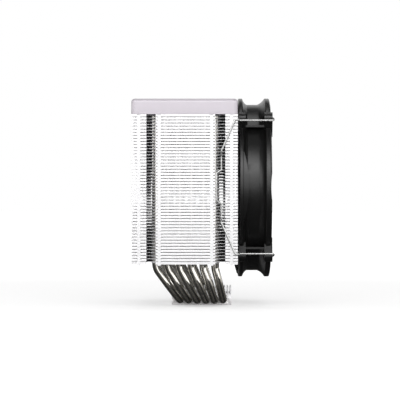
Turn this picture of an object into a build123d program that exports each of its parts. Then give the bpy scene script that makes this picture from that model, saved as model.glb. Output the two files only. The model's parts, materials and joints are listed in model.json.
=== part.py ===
"""Tower cooler for a processor: a fin stack on six heat pipes, with a round 140 mm fan held by wire clips.

Frame: origin at the centre of the contact face, +Z up the tower, +X towards the fan, Y across the fins.
All sizes are in millimetres.
"""

import os
from math import cos, radians, sin, sqrt

from build123d import *

# ---- heat pipes ----
pipe_diameter = 6.0
pipe_gap_in_base = 0.6
pipe_pitch_in_fins = 9.0
pipe_legs_y = (54.0, 57.0, 60.0, 62.5, 60.0, 56.0)  # bowed outwards, so that leaning legs clear each other
pipe_row_lead = 0.7  # the row of pipes stands this much nearer the fan than the middle of the fins
pipe_bend_radius = 18.0
pipe_shoulder_radius = 12.0
pipe_shoulder_drop = 3.0  # from the fin stack down to the corner where a leg turns towards the base
pipe_tip_rise = 5.5
pipe_tip_round = 2.4
pipe_hole_clearance = 0.04

# ---- base ----
plate_floor = 2.0  # metal under the pipes
base_end_margin = 3.75
base_width = 40.0
base_edge_chamfer = 0.5
block_roof = 1.0
rib_height = 5.0
rib_thickness = 0.9
rib_pitch_wanted = 2.3
crossbar_channel_width = 12.0

# ---- fin stack ----
fin_count = 49
fin_pitch = 2.32
fin_thickness = 0.4
fin_depth = 80.3
fin_width = 145.0
fin_centre_x = -12.9
stack_bottom_z = 32.6
tab_gap = 0.1
slot_depth = 13.0
rear_slot_from_edge = 11.5
rear_slot_width = 7.0
front_slot_from_edge = 9.4
front_slot_width = 7.7

# ---- top cover ----
cover_height = 11.7
cover_wall = 1.0
cover_bend_radius = 2.6
cover_corner_radius = 3.2

# ---- fan frame ----
ring_radius = 70.0
duct_radius = 63.2
duct_wall = 1.9
bell_flare = 3.4
fan_thickness = 25.5
fan_lift = 2.0  # fan centre above the middle of the fin stack
pad_thickness = 1.3
back_flange = 3.4
back_slope = 3.3
front_flange = 4.3
front_slope = 5.6
slope_hollow = 0.7
rim_setback = 0.6  # front edge of the ring behind the front faces of the ears
rim_lean = 0.7
rim_round = 1.1
cheek_bulge = 3.8
cheek_half_height = 28.0
notch_depth = 0.8
notch_half_height = 10.5
ear_hole_spacing = 105.0
ear_hole_radius = 2.15
ear_radius = 4.5
ear_foot_radius = 8.5
back_ear = 5.0
front_ear = 6.2
web_height = 46.5  # of the four webs that tie the flanges together, above and below the axis
web_thickness = 1.5
strut_count = 4
strut_width = 4.2
strut_depth = 3.0
strut_turn = 18.0
rim_inset = 0.6  # the cheeks and webs stop this far inside the edge of the ring
web_inset = 1.0  # from the faces of the ring to the edges of the webs
wall_overlap = 0.5  # how far cheeks, struts and arms run into the wall that they grow from
cut_margin = 1.0  # how far a cut runs past the face that it opens

# ---- lead outlet ----
gland_width = 12.0
gland_height = 8.0
gland_reach = 2.2
gland_hole_radius = 1.7
gland_clearance = 0.3
gland_angle = 16.0  # round the ring from its lowest point
gland_inset = 1.5  # nearer the axis than the middle of the ring's back face
gland_lip = 0.4

# ---- motor ----
motor_plate_radius = 23.0
motor_plate_depth = 2.6
label_thickness = 0.15
label_margin = 1.5
shaft_radius = 1.5
bearing_clearance = 0.03
sleeve_radius = 3.5
boss_clearance = 1.1
tube_wall = 1.5
board_radius = 17.0
board_thickness = 1.2
board_lift = 0.4
stator_radius = 15.2
stator_hub_radius = 8.0
stator_length = 7.0
stator_poles = 4
stator_arm_width = 4.0
pole_shoe_depth = 2.2
pole_slot_width = 3.2
coil_build = 2.0
coil_clearance = 0.2
air_gap = 0.6
magnet_thickness = 2.2
magnet_length = 11.0
yoke_thickness = 1.0
washer_thickness = 0.6
washer_inset = 0.2
coil_to_board = 0.6
magnet_to_board = 1.0
hub_overhang = 0.6  # the hub's open end behind the magnet's
shaft_end_play = 0.1
retainer_from_tip = 0.6
retainer_to_sleeve = 0.3
retainer_radius = 2.8
retainer_thickness = 0.4

# ---- impeller ----
hub_wall = 1.6
hub_front_gap = 1.2
hub_edge_round = 1.2
boss_radius = 4.0
boss_length = 5.0
blade_count = 9
tip_clearance = 1.0
blade_root_chord = 21.0
blade_tip_chord = 40.0
blade_root_pitch = 47.0
blade_tip_pitch = 25.0
blade_root_thickness = 2.4
blade_tip_thickness = 1.5
blade_edge = 0.4
blade_camber = 0.08
blade_sweep = 9.0
blade_lead = 1.25  # middle of the blades in front of the middle of the frame
blade_stations = 4
blade_root_overrun = 2.0  # how far the blade's shape runs past the cuts that end it
blade_tip_overrun = 1.0

# ---- wire clips ----
wire_radius = 0.65
wire_clearance = 0.3
wire_bend = 1.3
hook_depth = 1.6
side_run_height = 50.7
clip_heel = 1.9  # behind the front edge of the fins, where the wire turns down their side
clip_slant_end = 27.0
clip_dip_end = 23.0
clip_dip = 2.3
clip_seat = 4.77  # from the rear side of the slot to the wire
grip_offset = 3.6
grip_rise = 1.0
grip_half_height = 10.6
grip_step = 2.2

# ---- worked out from the sizes above ----
pipe_radius = pipe_diameter / 2
pipe_count = len(pipe_legs_y)
pipe_pitch_in_base = pipe_diameter + pipe_gap_in_base
pipe_axis_z = plate_floor + pipe_radius
block_top_z = pipe_axis_z + pipe_radius + block_roof
base_length = pipe_pitch_in_base * (pipe_count - 1) + pipe_diameter + 2 * base_end_margin
stack_height = fin_count * fin_pitch
stack_top_z = stack_bottom_z + stack_height
fin_front_x = fin_centre_x + fin_depth / 2
fin_rear_x = fin_centre_x - fin_depth / 2
fan_back_x = fin_front_x + pad_thickness
fan_front_x = fan_back_x + fan_thickness
fan_centre_z = stack_bottom_z + stack_height / 2 + fan_lift
ear_offset = ear_hole_spacing / 2
ear_reach = ear_offset + ear_radius
barrel_radius = duct_radius + duct_wall
rim_u = fan_thickness - rim_setback
magnet_radius = stator_radius + air_gap + magnet_thickness
yoke_radius = magnet_radius + yoke_thickness
hub_radius = yoke_radius + hub_wall
blade_tip_radius = duct_radius - tip_clearance
tube_radius = sleeve_radius + tube_wall

# Places along the fan's axis, measured from the back face of its frame.
board_u = motor_plate_depth + board_lift
stator_u = board_u + board_thickness + coil_build + coil_to_board
magnet_u = board_u + board_thickness + magnet_to_board
hub_back_u = magnet_u - hub_overhang
hub_front_u = fan_thickness - hub_front_gap
hub_face_u = hub_front_u - hub_wall
boss_u = hub_face_u - boss_length
blade_middle_u = fan_thickness / 2 + blade_lead
shaft_tip_u = motor_plate_depth + washer_thickness + shaft_end_play
retainer_u = shaft_tip_u + retainer_from_tip
sleeve_u = retainer_u + retainer_thickness + retainer_to_sleeve
sleeve_end_u = boss_u - boss_clearance

fan_axis = Axis((fan_back_x, 0, fan_centre_z), (1, 0, 0))
fan_section = Plane((fan_back_x, 0, fan_centre_z), x_dir=(1, 0, 0), z_dir=(0, -1, 0))


def across_fan(distance):
    """A plane square to the fan's axis, this far in front of the frame's back face."""
    return Plane((fan_back_x + distance, 0, fan_centre_z), x_dir=(0, 1, 0), z_dir=(1, 0, 0))


def pipe_places():
    """For each pipe: its x in the base, its x in the fins and the y of its legs."""
    for number, leg_y in enumerate(pipe_legs_y):
        step = number - (pipe_count - 1) / 2
        fin_x = fin_centre_x + pipe_row_lead + step * pipe_pitch_in_fins
        yield step * pipe_pitch_in_base, fin_x, leg_y


def ring_about_axis(start, end, outer, inner=0.0, mode=Mode.ADD):
    """A round plate or tube about the fan's axis, in the part in hand."""
    with BuildSketch(across_fan(start)) as outline:
        Circle(outer)
        if inner:
            Circle(inner, mode=Mode.SUBTRACT)
    return extrude(outline.sketch, amount=end - start, mode=mode)


# ---- heat pipes: flat through the base, then a bend, a slanting leg and a straight leg through the fins ----
def heat_pipe(base_x, fin_x, leg_y):
    shoulder_z = stack_bottom_z - pipe_shoulder_drop
    half = [
        (fin_x, leg_y, stack_top_z + pipe_tip_rise),
        (fin_x, leg_y, shoulder_z),
        (base_x, leg_y, pipe_axis_z),
    ]
    route = half + [(x, -y, z) for x, y, z in reversed(half)]
    bends = [pipe_shoulder_radius, pipe_bend_radius, pipe_bend_radius, pipe_shoulder_radius]
    with BuildPart() as pipe:
        with BuildLine() as centreline:
            FilletPolyline(*route, radius=bends)
        with BuildSketch(Plane(route[0], z_dir=(0, 0, -1))):
            Circle(pipe_radius)
        sweep(path=centreline.wires()[0])
        tips = pipe.faces().filter_by(Plane.XY).sort_by(Axis.Z)[-2:]
        fillet(tips.edges(), radius=pipe_tip_round)
    return pipe


heat_pipes = [heat_pipe(*place) for place in pipe_places()]


# ---- base: a contact plate under the pipes and a finned block over them ----
def pipe_grooves():
    """The round channels that the pipes lie in, cut out of the part in hand."""
    with BuildSketch(Plane.XZ.offset(-base_width / 2 - cut_margin)) as grooves:
        for base_x, _, _ in pipe_places():
            with Locations((base_x, pipe_axis_z)):
                Circle(pipe_radius)
    extrude(grooves.sketch, amount=base_width + 2 * cut_margin, mode=Mode.SUBTRACT)


with BuildPart() as base_plate:
    with BuildSketch():
        Rectangle(base_length, base_width)
    extrude(amount=pipe_axis_z)
    chamfer(base_plate.edges().filter_by(Axis.Z), base_edge_chamfer)
    chamfer(base_plate.faces().sort_by(Axis.Z)[0].edges(), base_edge_chamfer)
    pipe_grooves()

with BuildPart() as base_block:
    with BuildSketch(Plane.XY.offset(pipe_axis_z)):
        Rectangle(base_length, base_width)
    extrude(amount=block_top_z - pipe_axis_z)
    rib_span = base_length - rib_thickness
    rib_gaps = round(rib_span / rib_pitch_wanted)
    rib_length = (base_width - crossbar_channel_width) / 2
    with BuildSketch(Plane.XY.offset(block_top_z)):
        with GridLocations(rib_span / rib_gaps, base_width - rib_length, rib_gaps + 1, 2):
            Rectangle(rib_thickness, rib_length)
    extrude(amount=rib_height)
    pipe_grooves()

# ---- fins: one sheet repeated up the pipes, with its side edges folded down onto the sheet below ----
rear_slot_start = fin_rear_x + rear_slot_from_edge
front_slot_end = fin_front_x - front_slot_from_edge
front_slot_start = front_slot_end - front_slot_width
side_slots = [(rear_slot_start, rear_slot_width), (front_slot_start, front_slot_width)]
side_walls = [
    (fin_rear_x, rear_slot_start),
    (rear_slot_start + rear_slot_width, front_slot_start),
    (front_slot_end, fin_front_x),
]
lowest_fin_z = stack_bottom_z + fin_pitch

with BuildPart() as one_fin:
    with BuildSketch(Plane.XY.offset(lowest_fin_z)):
        with Locations((fin_centre_x, 0)):
            Rectangle(fin_depth, fin_width)
        for side in (-1, 1):
            for slot_start, slot_width in side_slots:
                with Locations((slot_start + slot_width / 2, side * (fin_width - slot_depth) / 2)):
                    Rectangle(slot_width, slot_depth, mode=Mode.SUBTRACT)
            for _, fin_x, leg_y in pipe_places():
                with Locations((fin_x, side * leg_y)):
                    Circle(pipe_radius + pipe_hole_clearance, mode=Mode.SUBTRACT)
    extrude(amount=-fin_thickness)
    with BuildSketch(Plane.XY.offset(lowest_fin_z - fin_thickness)):
        for side in (-1, 1):
            for wall_start, wall_end in side_walls:
                with Locations(((wall_start + wall_end) / 2, side * (fin_width - fin_thickness) / 2)):
                    Rectangle(wall_end - wall_start, fin_thickness)
    extrude(amount=-(fin_pitch - fin_thickness - tab_gap))

with BuildPart() as fins:
    with Locations(*[(0, 0, number * fin_pitch) for number in range(fin_count)]):
        add(one_fin.part)

# ---- top cover: a drawn lid standing on the top fin, over the ends of the pipes ----
with BuildPart() as top_cover:
    with BuildSketch(Plane.XY.offset(stack_top_z)):
        with Locations((fin_centre_x, 0)):
            RectangleRounded(fin_depth, fin_width, cover_corner_radius)
    extrude(amount=cover_height)
    fillet(top_cover.faces().sort_by(Axis.Z)[-1].edges(), radius=cover_bend_radius)
    offset(amount=-cover_wall, openings=top_cover.faces().sort_by(Axis.Z)[0])


# ---- fan frame: a waisted ring with ears, webs, a motor plate on struts and a bearing tube ----
with BuildSketch() as one_ear:
    with Locations((ear_offset * sqrt(2), 0)):
        Circle(ear_radius)
    with Locations((ring_radius - ear_foot_radius, 0)):
        Circle(ear_foot_radius)
    make_hull()


def side_roller(radius, centre_u):
    """A cylinder lying across the fan, used to shape the sides of the ring."""
    place = Location((fan_back_x + centre_u, 0, fan_centre_z), (90, 0, 0))
    return place * Cylinder(radius, 2 * (ring_radius + ear_radius), mode=Mode.PRIVATE)


def bell_mouth(face_u, inward):
    """The flared end of the duct, cut out of the part in hand."""
    flare_u = face_u + inward * bell_flare
    with BuildSketch(fan_section) as flare:
        with BuildLine():
            Line((face_u, duct_radius - cut_margin), (face_u, duct_radius + bell_flare))
            RadiusArc((face_u, duct_radius + bell_flare), (flare_u, duct_radius), -inward * bell_flare)
            Polyline(
                (flare_u, duct_radius), (flare_u, duct_radius - cut_margin), (face_u, duct_radius - cut_margin)
            )
        make_face()
    revolve(flare.sketch, axis=fan_axis, mode=Mode.SUBTRACT)


cheek_radius = (cheek_half_height**2 + cheek_bulge**2) / (2 * cheek_bulge)
notch_radius = (notch_half_height**2 + notch_depth**2) / (2 * notch_depth)
slope_end_u = back_flange + back_slope
flare_start_u = rim_u - front_flange - front_slope
flare_end_u = rim_u - front_flange

with BuildPart() as fan_frame:
    with BuildSketch(fan_section):
        with BuildLine():
            Polyline((slope_end_u, barrel_radius), (flare_start_u, barrel_radius))
            SagittaArc((flare_start_u, barrel_radius), (flare_end_u, ring_radius), -slope_hollow)
            Polyline(
                (flare_end_u, ring_radius),
                (rim_u - rim_lean, ring_radius),
                (rim_u, ring_radius - bell_flare),
                (rim_u, duct_radius),
                (0, duct_radius),
                (0, ring_radius),
                (back_flange, ring_radius),
            )
            SagittaArc((back_flange, ring_radius), (slope_end_u, barrel_radius), -slope_hollow)
        make_face()
    revolve(axis=fan_axis)
    outer_rims = fan_frame.edges().filter_by(GeomType.CIRCLE)
    fillet(outer_rims.filter_by(lambda rim: abs(rim.radius - ring_radius) < 0.01), radius=rim_round)
    cheek_end_u = back_flange + cheek_bulge
    cheek_ring = ring_about_axis(
        back_flange - 2 * wall_overlap,
        cheek_end_u,
        ring_radius - rim_inset,
        barrel_radius - wall_overlap,
        Mode.PRIVATE,
    )
    add(cheek_ring & side_roller(cheek_radius, cheek_end_u - cheek_radius))
    for start_u, depth in ((0, back_ear), (fan_thickness - front_ear, front_ear)):
        with BuildSketch(across_fan(start_u)):
            with PolarLocations(0, 4, start_angle=45):
                add(one_ear.sketch)
        extrude(amount=depth)
    web_inner_y = sqrt(barrel_radius**2 - web_height**2) - 2 * wall_overlap
    web_outer_y = sqrt((ring_radius - rim_inset) ** 2 - web_height**2)
    with BuildSketch(across_fan(web_inset)):
        with GridLocations(web_inner_y + web_outer_y, 2 * web_height, 2, 2):
            Rectangle(web_outer_y - web_inner_y, web_thickness)
    extrude(amount=rim_u - 2 * web_inset)
    ring_about_axis(-cut_margin, fan_thickness + cut_margin, duct_radius, mode=Mode.SUBTRACT)
    bell_mouth(0, 1)
    bell_mouth(rim_u, -1)
    add(side_roller(notch_radius, rim_u - notch_depth + notch_radius), mode=Mode.SUBTRACT)
    with BuildSketch(across_fan(-cut_margin)):
        with GridLocations(ear_hole_spacing, ear_hole_spacing, 2, 2):
            Circle(ear_hole_radius)
    extrude(amount=fan_thickness + 2 * cut_margin, mode=Mode.SUBTRACT)
    ring_about_axis(0, motor_plate_depth, motor_plate_radius)
    with BuildSketch(across_fan(0)):
        strut_end = barrel_radius - wall_overlap
        strut_length = strut_end - motor_plate_radius / 2
        strut_middle = (strut_end + motor_plate_radius / 2) / 2
        with PolarLocations(strut_middle, strut_count, start_angle=strut_turn):
            Rectangle(strut_length, strut_width)
    extrude(amount=strut_depth)
    ring_about_axis(0, sleeve_end_u, tube_radius)
    ring_about_axis(motor_plate_depth, sleeve_end_u + cut_margin, sleeve_radius, mode=Mode.SUBTRACT)

# ---- rubber pads between the ears and the fins ----
def fan_pad(side_y, side_z):
    with BuildPart() as pad:
        with BuildSketch(across_fan(-pad_thickness)):
            with Locations((side_y * ear_offset, side_z * ear_offset)):
                Circle(ear_radius)
                Circle(ear_hole_radius, mode=Mode.SUBTRACT)
        extrude(amount=pad_thickness)
    return pad


fan_pads = [fan_pad(side_y, side_z) for side_y in (-1, 1) for side_z in (-1, 1)]

# ---- lead outlet: a wedge on the back of the ring, near its lowest point ----
gland_radius = (duct_radius + bell_flare + ring_radius) / 2 - gland_inset
gland_y = gland_radius * sin(radians(gland_angle))
gland_z = fan_centre_z - gland_radius * cos(radians(gland_angle))
gland_top_z = gland_z + gland_height / 2
gland_clears_fins = gland_top_z + gland_clearance < stack_bottom_z
gland_back_x = fan_back_x - (gland_reach if gland_clears_fins else pad_thickness - gland_clearance)

with BuildPart() as cable_gland:
    with BuildSketch(Plane.XZ.offset(-gland_y - gland_width / 2)):
        with BuildLine():
            Polyline(
                (fan_back_x, gland_top_z),
                (gland_back_x, gland_top_z),
                (gland_back_x, gland_z + gland_height / 4),
                (fan_back_x - gland_lip, gland_z - gland_height / 2),
                (fan_back_x, gland_z - gland_height / 2),
                close=True,
            )
        make_face()
    extrude(amount=gland_width)
    with BuildSketch(Plane.YZ.offset(fan_back_x)):
        with Locations((gland_y, gland_z + gland_hole_radius / 2)):
            Circle(gland_hole_radius)
    extrude(amount=-gland_reach - cut_margin, mode=Mode.SUBTRACT)

# ---- motor: label, circuit board, bearing, stator core and coils ----
with BuildPart() as motor_label:
    ring_about_axis(-label_thickness, 0, motor_plate_radius - label_margin)

with BuildPart() as motor_board:
    ring_about_axis(board_u, board_u + board_thickness, board_radius, tube_radius)

with BuildPart() as thrust_washer:
    ring_about_axis(motor_plate_depth, motor_plate_depth + washer_thickness, sleeve_radius - washer_inset)

with BuildPart() as bearing_sleeve:
    ring_about_axis(sleeve_u, sleeve_end_u, sleeve_radius, shaft_radius + bearing_clearance)

shoe_inner_radius = stator_radius - pole_shoe_depth

with BuildPart() as stator_core:
    with BuildSketch(across_fan(stator_u)):
        Circle(stator_radius)
        Circle(shoe_inner_radius, mode=Mode.SUBTRACT)
        with PolarLocations(stator_radius, stator_poles, start_angle=180 / stator_poles):
            Rectangle(3 * pole_shoe_depth, pole_slot_width, mode=Mode.SUBTRACT)
        with PolarLocations(shoe_inner_radius / 2 + wall_overlap, stator_poles):
            Rectangle(shoe_inner_radius, stator_arm_width)
        Circle(stator_hub_radius)
        Circle(tube_radius, mode=Mode.SUBTRACT)
    extrude(amount=stator_length)


def stator_coil(turn):
    """One winding round the arm that stands at this angle."""
    inner = stator_hub_radius + coil_clearance
    outer = sqrt(shoe_inner_radius**2 - (stator_arm_width / 2 + coil_build) ** 2) - coil_clearance
    arm_middle = fan_section.origin + Vector(stator_u + stator_length / 2, 0, 0)
    outward = Vector(0, cos(radians(turn)), sin(radians(turn)))
    with BuildPart() as coil:
        with BuildSketch(Plane(arm_middle + outward * inner, x_dir=(1, 0, 0), z_dir=outward)):
            RectangleRounded(
                stator_length + 2 * coil_build, stator_arm_width + 2 * coil_build, coil_build * 0.9
            )
            Rectangle(stator_length, stator_arm_width, mode=Mode.SUBTRACT)
        extrude(amount=outer - inner)
    return coil


stator_coils = [stator_coil(number * 360 / stator_poles) for number in range(stator_poles)]

# ---- rotor: steel yoke, magnet, shaft with its retaining ring, and the impeller ----
with BuildPart() as rotor_yoke:
    ring_about_axis(magnet_u, hub_face_u, yoke_radius, magnet_radius)
    ring_about_axis(hub_face_u - yoke_thickness, hub_face_u, yoke_radius, boss_radius)

with BuildPart() as magnet_ring:
    ring_about_axis(magnet_u, magnet_u + magnet_length, magnet_radius, stator_radius + air_gap)

with BuildPart() as fan_shaft:
    ring_about_axis(shaft_tip_u, hub_face_u, shaft_radius)

with BuildPart() as shaft_retainer:
    ring_about_axis(retainer_u, retainer_u + retainer_thickness, retainer_radius, shaft_radius)

blade_root_station = yoke_radius - blade_root_overrun
blade_tip_station = blade_tip_radius + blade_tip_overrun

with BuildPart() as one_blade:
    for station in range(blade_stations):
        share = station / (blade_stations - 1)
        radius = blade_root_station + share * (blade_tip_station - blade_root_station)
        chord = blade_root_chord + share * (blade_tip_chord - blade_root_chord)
        pitch = blade_root_pitch + share * (blade_tip_pitch - blade_root_pitch)
        thickness = blade_root_thickness + share * (blade_tip_thickness - blade_root_thickness)
        lean = radians(blade_sweep * share**2)
        outward = Vector(0, cos(lean), sin(lean))
        along = Vector(0, -sin(lean), cos(lean))
        middle = fan_section.origin + Vector(blade_middle_u, 0, 0) + outward * radius
        crown = blade_camber * chord
        with BuildSketch(Plane(middle, x_dir=along, z_dir=outward).rotated((0, 0, pitch))):
            with BuildLine():
                nose, tail = -chord / 2, chord / 2
                ThreePointArc((nose, blade_edge / 2), (0, crown + thickness / 2), (tail, blade_edge / 2))
                Line((tail, blade_edge / 2), (tail, -blade_edge / 2))
                ThreePointArc((tail, -blade_edge / 2), (0, crown - thickness / 2), (nose, -blade_edge / 2))
                Line((nose, -blade_edge / 2), (nose, blade_edge / 2))
            make_face()
    loft()
    blade_inner_radius = yoke_radius + hub_wall / 2
    ring_about_axis(0, fan_thickness, blade_tip_radius, blade_inner_radius, Mode.INTERSECT)

with BuildPart() as impeller:
    ring_about_axis(hub_back_u, hub_front_u, hub_radius)
    fillet(impeller.faces().sort_by(Axis.X)[-1].edges(), radius=hub_edge_round)
    ring_about_axis(hub_back_u, hub_face_u, yoke_radius, mode=Mode.SUBTRACT)
    ring_about_axis(boss_u, hub_face_u, boss_radius, shaft_radius)
    for number in range(blade_count):
        add(one_blade.part.rotate(fan_axis, number * 360 / blade_count))

# ---- wire clips: hooked in the front ear holes, run back past the fan and seated in the side slots ----
wire_stand_off = wire_radius + wire_clearance
hook_x = fan_front_x + wire_stand_off
clip_leg_x = fin_front_x + wire_stand_off
clip_side_y = ear_reach + wire_stand_off
clip_wall_y = fin_width / 2 + wire_stand_off
clip_seat_x = front_slot_start + clip_seat


def wire_clip(side):
    """A clip on one side of the cooler: side is -1 or 1."""
    half = [
        (fan_front_x - hook_depth, ear_offset, ear_offset),
        (hook_x, ear_offset, ear_offset),
        (hook_x, clip_side_y, side_run_height),
        (clip_leg_x, clip_side_y, side_run_height),
        (clip_leg_x, clip_wall_y, side_run_height),
        (fin_front_x - clip_heel, clip_wall_y, side_run_height),
        (clip_seat_x, clip_wall_y, clip_slant_end),
        (clip_seat_x, clip_wall_y - clip_dip, clip_dip_end),
        (clip_seat_x, clip_wall_y - clip_dip, grip_half_height + grip_step),
        (clip_seat_x - grip_offset, clip_wall_y - clip_dip + grip_rise, grip_half_height),
    ]
    mirrored = [(x, out, -rise) for x, out, rise in reversed(half)]
    route = [(x, side * out, fan_centre_z + rise) for x, out, rise in half + mirrored]
    with BuildPart() as clip:
        with BuildLine() as centreline:
            FilletPolyline(*route, radius=wire_bend)
        with BuildSketch(Plane(route[0], z_dir=(1, 0, 0))):
            Circle(wire_radius)
        sweep(path=centreline.wires()[0])
    return clip


# ---- names and files ----
pieces = {
    "base_plate": base_plate,
    "base_block": base_block,
    "fins": fins,
    "top_cover": top_cover,
    "fan_frame": fan_frame,
    "cable_gland": cable_gland,
    "motor_label": motor_label,
    "motor_board": motor_board,
    "thrust_washer": thrust_washer,
    "bearing_sleeve": bearing_sleeve,
    "stator_core": stator_core,
    "rotor_yoke": rotor_yoke,
    "magnet_ring": magnet_ring,
    "fan_shaft": fan_shaft,
    "shaft_retainer": shaft_retainer,
    "impeller": impeller,
    "clip_near": wire_clip(-1),
    "clip_far": wire_clip(1),
}
for kind, copies in (("heat_pipe", heat_pipes), ("fan_pad", fan_pads), ("stator_coil", stator_coils)):
    pieces |= {f"{kind}_{number}": copy for number, copy in enumerate(copies, 1)}

os.makedirs("parts", exist_ok=True)
for name, piece in pieces.items():
    piece.part.label = name
    export_step(piece.part, f"parts/{name}.step")
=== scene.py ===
"""Looks for a processor's tower cooler: pressed fins, plated pipes, a drawn cover, a fan and wire clips.

Everything is in metres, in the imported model's frame: +Z up the tower, +X towards the fan and Y across
the fins.
"""

import json
from math import cos, pi, radians, sin

import bmesh
import bpy
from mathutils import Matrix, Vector

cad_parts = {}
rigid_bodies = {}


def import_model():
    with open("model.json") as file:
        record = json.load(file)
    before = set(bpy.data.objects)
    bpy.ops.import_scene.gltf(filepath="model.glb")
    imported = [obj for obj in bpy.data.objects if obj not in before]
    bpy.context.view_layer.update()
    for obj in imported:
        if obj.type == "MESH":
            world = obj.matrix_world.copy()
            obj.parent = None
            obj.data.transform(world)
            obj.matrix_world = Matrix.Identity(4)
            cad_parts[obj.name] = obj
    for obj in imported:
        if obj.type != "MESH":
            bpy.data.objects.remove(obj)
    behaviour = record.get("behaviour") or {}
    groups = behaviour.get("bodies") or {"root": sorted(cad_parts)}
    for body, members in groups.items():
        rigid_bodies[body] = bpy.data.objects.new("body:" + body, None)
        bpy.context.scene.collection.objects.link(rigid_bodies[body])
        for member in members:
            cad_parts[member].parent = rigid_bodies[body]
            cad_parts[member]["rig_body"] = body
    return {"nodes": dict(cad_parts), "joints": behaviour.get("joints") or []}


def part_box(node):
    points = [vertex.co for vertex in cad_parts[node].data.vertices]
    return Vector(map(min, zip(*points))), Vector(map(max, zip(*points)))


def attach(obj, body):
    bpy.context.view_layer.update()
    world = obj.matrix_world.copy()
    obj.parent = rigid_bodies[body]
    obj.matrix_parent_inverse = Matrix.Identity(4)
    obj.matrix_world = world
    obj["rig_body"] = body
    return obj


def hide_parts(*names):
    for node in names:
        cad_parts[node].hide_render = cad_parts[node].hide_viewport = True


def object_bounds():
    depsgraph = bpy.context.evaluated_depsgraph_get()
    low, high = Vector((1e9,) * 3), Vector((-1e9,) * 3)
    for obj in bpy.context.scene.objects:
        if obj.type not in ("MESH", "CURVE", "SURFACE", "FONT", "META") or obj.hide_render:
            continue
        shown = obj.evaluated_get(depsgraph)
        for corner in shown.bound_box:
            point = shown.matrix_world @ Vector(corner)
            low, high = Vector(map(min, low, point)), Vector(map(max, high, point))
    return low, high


bl_info = {
    "name": "Tower cooler looks",
    "version": (1, 0, 0),
    "blender": (4, 5, 0),
    "location": "3D View > Sidebar > Cooler",
    "description": "Builds the finished surfaces of a tower cooler around its packed model",
    "category": "Object",
}

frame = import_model()
cad_low, cad_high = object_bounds()
joint_place = {joint["name"]: Vector(joint["pos_m"]) for joint in frame["joints"]}

MM = 0.001

# Names of the attributes that the tube tree reads and stores.
BEND = "bend"
AROUND = "around"

# Sockets of a colour Mix node, whose names repeat.
MIX_SHARE, MIX_FIRST, MIX_SECOND, MIX_COLOUR = 0, 6, 7, 2

# Spans for spread(): the whole range, and where nearly all or most of a noise's values lie.
WHOLE = (0.0, 1.0)
WIDE = (0.3, 0.7)
NARROW = (0.35, 0.65)

# Points nearer than this are one point, and faces flatter than this to each other are one face.
WELD = 0.001 * MM
FLAT = radians(0.5)

# How far the middle of a quarter round stands from its two tangents, as a share of its radius.
ROUND_MIDDLE = 0.3

# Colours of the motor's materials and of the circuit board.
COPPER = (0.72, 0.30, 0.14, 1.0)
BRONZE = (0.62, 0.40, 0.19, 1.0)
LAMINATION_STEEL = (0.42, 0.42, 0.44, 1.0)
YOKE_STEEL = (0.55, 0.55, 0.56, 1.0)
SHAFT_STEEL = (0.76, 0.76, 0.77, 1.0)
RETAINER_STEEL = (0.6, 0.6, 0.61, 1.0)
NYLON_DARK, NYLON_PALE = (0.62, 0.6, 0.52, 1.0), (0.8, 0.78, 0.7, 1.0)
LACQUER_DARK, LACQUER_PALE = (0.008, 0.055, 0.022, 1.0), (0.02, 0.11, 0.045, 1.0)


# ---- node trees ----
class Value:
    """A number on a socket: maths on it adds the Math nodes that it takes."""

    def __init__(self, graph, socket):
        self.graph = graph
        self.socket = socket

    def maths(self, operation, first, second):
        return self.graph.node("ShaderNodeMath", {"operation": operation}, {0: first, 1: second})

    def __add__(self, other):
        return self.maths("ADD", self, other)

    def __radd__(self, other):
        return self.maths("ADD", other, self)

    def __sub__(self, other):
        return self.maths("SUBTRACT", self, other)

    def __rsub__(self, other):
        return self.maths("SUBTRACT", other, self)

    def __mul__(self, other):
        return self.maths("MULTIPLY", self, other)

    def __rmul__(self, other):
        return self.maths("MULTIPLY", other, self)


class Graph:
    """A node tree in the making."""

    def __init__(self, tree):
        self.tree = tree

    def node(self, kind, settings=None, inputs=None, output=0):
        """Adds a node, first its settings and then its sockets' values or links; returns one output."""
        made = self.tree.nodes.new(kind)
        for name, value in (settings or {}).items():
            setattr(made, name, value)
        for key, value in (inputs or {}).items():
            if isinstance(value, Value):
                self.tree.links.new(value.socket, made.inputs[key])
            else:
                made.inputs[key].default_value = value
        return Value(self, made.outputs[output]) if made.outputs else None

    def mix(self, first, second, share):
        """The first colour turning into the second as share goes from 0 to 1."""
        inputs = {MIX_SHARE: share, MIX_FIRST: first, MIX_SECOND: second}
        return self.node("ShaderNodeMix", {"data_type": "RGBA"}, inputs, output=MIX_COLOUR)

    def spread(self, value, span, onto=WHOLE):
        """The value stretched so that one span of it covers the other, and held at the ends."""
        inputs = {
            "Value": value,
            "From Min": span[0],
            "From Max": span[1],
            "To Min": onto[0],
            "To Max": onto[1],
        }
        return self.node("ShaderNodeMapRange", {"clamp": True}, inputs)


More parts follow.
